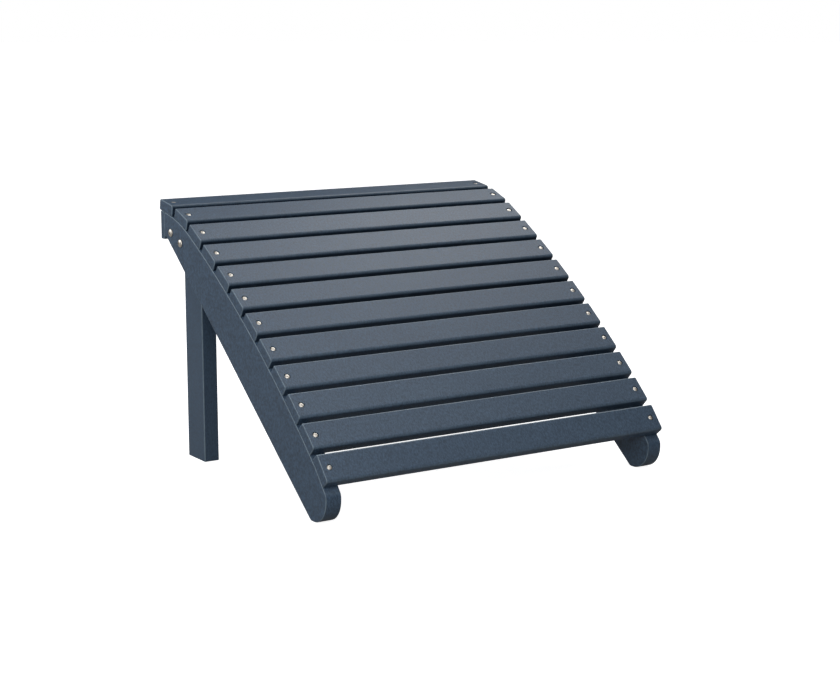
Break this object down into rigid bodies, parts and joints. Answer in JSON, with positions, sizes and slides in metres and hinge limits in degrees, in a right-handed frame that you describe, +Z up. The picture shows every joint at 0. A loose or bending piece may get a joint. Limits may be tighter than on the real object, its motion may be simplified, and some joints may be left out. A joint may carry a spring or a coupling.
{
  "type": "adirondack footrest",
  "caption": "Low outdoor footrest with a curved, front-sloping deck of horizontal slats on two side rails that end in rounded feet, and two upright rear legs.",
  "frame": {"origin": "centre of the bounding box on the floor plane, z = 0 under the feet and legs", "axes": "+X along the slats towards the right-hand rail as seen from the low end, -Y towards the low front end, +Z up"},
  "size_m": [0.5058, 0.4316, 0.3422],
  "materials": {
    "deck_lumber": "satin navy HDPE plastic lumber with a fine mottled, slightly orange-peel surface",
    "frame_lumber": "satin navy HDPE plastic lumber, a little smoother on the legs and apron",
    "stainless_screws": "bright stainless steel screw heads"
  },
  "bodies": {
    "root": {"slat_01": "deck_lumber", "slat_02": "deck_lumber", "slat_03": "deck_lumber", "slat_04": "deck_lumber", "slat_05": "deck_lumber", "slat_06": "deck_lumber", "slat_07": "deck_lumber", "slat_08": "deck_lumber", "slat_09": "deck_lumber", "slat_10": "deck_lumber", "slat_11": "deck_lumber", "slat_12": "deck_lumber", "side_rail_left": "frame_lumber", "side_rail_right": "frame_lumber", "rear_leg_left": "frame_lumber", "rear_leg_right": "frame_lumber", "rear_apron": "frame_lumber", "slat_screw_01_left": "stainless_screws", "slat_screw_02_left": "stainless_screws", "slat_screw_03_left": "stainless_screws", "slat_screw_04_left": "stainless_screws", "slat_screw_05_left": "stainless_screws", "slat_screw_06_left": "stainless_screws", "slat_screw_07_left": "stainless_screws", "slat_screw_08_left": "stainless_screws", "slat_screw_09_left": "stainless_screws", "slat_screw_10_left": "stainless_screws", "slat_screw_11_left": "stainless_screws", "slat_screw_12_left": "stainless_screws", "slat_screw_01_right": "stainless_screws", "slat_screw_02_right": "stainless_screws", "slat_screw_03_right": "stainless_screws", "slat_screw_04_right": "stainless_screws", "slat_screw_05_right": "stainless_screws", "slat_screw_06_right": "stainless_screws", "slat_screw_07_right": "stainless_screws", "slat_screw_08_right": "stainless_screws", "slat_screw_09_right": "stainless_screws", "slat_screw_10_right": "stainless_screws", "slat_screw_11_right": "stainless_screws", "slat_screw_12_right": "stainless_screws", "leg_screw_rear_left": "stainless_screws", "leg_screw_front_left": "stainless_screws", "leg_screw_rear_right": "stainless_screws", "leg_screw_front_right": "stainless_screws", "apron_screw_left": "stainless_screws", "apron_screw_right": "stainless_screws"}
  },
  "joints": []
}
